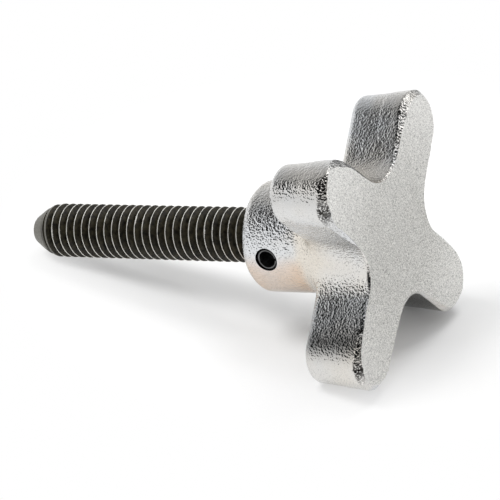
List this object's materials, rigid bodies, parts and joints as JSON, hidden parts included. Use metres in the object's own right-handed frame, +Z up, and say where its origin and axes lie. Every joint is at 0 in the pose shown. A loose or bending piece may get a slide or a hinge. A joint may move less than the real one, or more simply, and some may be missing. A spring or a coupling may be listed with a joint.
{
  "type": "star knob screw",
  "caption": "Cross-shaped cast hand knob with a round hub, pinned to a fully threaded steel stud with a turned point.",
  "frame": {"origin": "middle of the box round the whole screw, on the surface that it lies on", "axes": "+X from the stud's tip towards the knob, along the surface under the screw's axis; +Y across; +Z up. The screw's own axis rises 14 degrees from -X to +X"},
  "size_m": [0.0752, 0.0402, 0.0404],
  "materials": {
    "plated_iron": "rough sand-cast skin under bright plating, front face ground flat and grainy",
    "black_steel": "black oxide, oiled, bright along the worn thread crests, plain grey turned point",
    "pin_steel": "black spring steel, dull grey end edge"
  },
  "bodies": {
    "root": {"knob": "plated_iron", "threaded_stud": "black_steel", "spring_pin": "pin_steel"}
  },
  "joints": []
}
